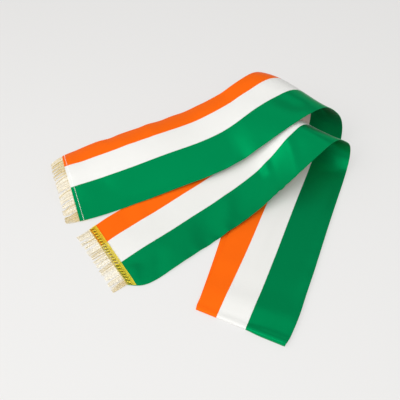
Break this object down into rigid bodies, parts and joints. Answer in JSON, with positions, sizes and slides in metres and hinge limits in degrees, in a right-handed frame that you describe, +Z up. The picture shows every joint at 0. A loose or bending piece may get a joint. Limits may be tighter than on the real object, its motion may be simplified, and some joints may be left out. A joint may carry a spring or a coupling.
{
  "type": "stole",
  "caption": "Striped satin stole with gold braid and fringed ends, loosely folded back and forth on a flat surface; worn over the shoulders or as a sash.",
  "frame": {"origin": "on the surface it lies on, under the middle of the folded stole's bounding box", "axes": "+Z up from the surface; +Y away from the bottom fold towards the rolls; +X from the fringed ends towards the rolls"},
  "size_m": [0.5114, 0.4878, 0.0903],
  "materials": {
    "striped_satin": "satin sheen; orange, white and green stripes along the cloth",
    "gold_braid": "metallic gold thread, openwork braid",
    "ivory_yarn": "matt to slightly shiny twisted yarn"
  },
  "bodies": {
    "root": {"upper_run": "striped_satin", "outer_roll": "striped_satin", "under_run": "striped_satin", "middle_run": "striped_satin", "inner_roll": "striped_satin", "front_run": "striped_satin", "upper_braid": "gold_braid", "front_braid": "gold_braid", "upper_fringe": "ivory_yarn", "front_fringe": "ivory_yarn"}
  },
  "joints": []
}
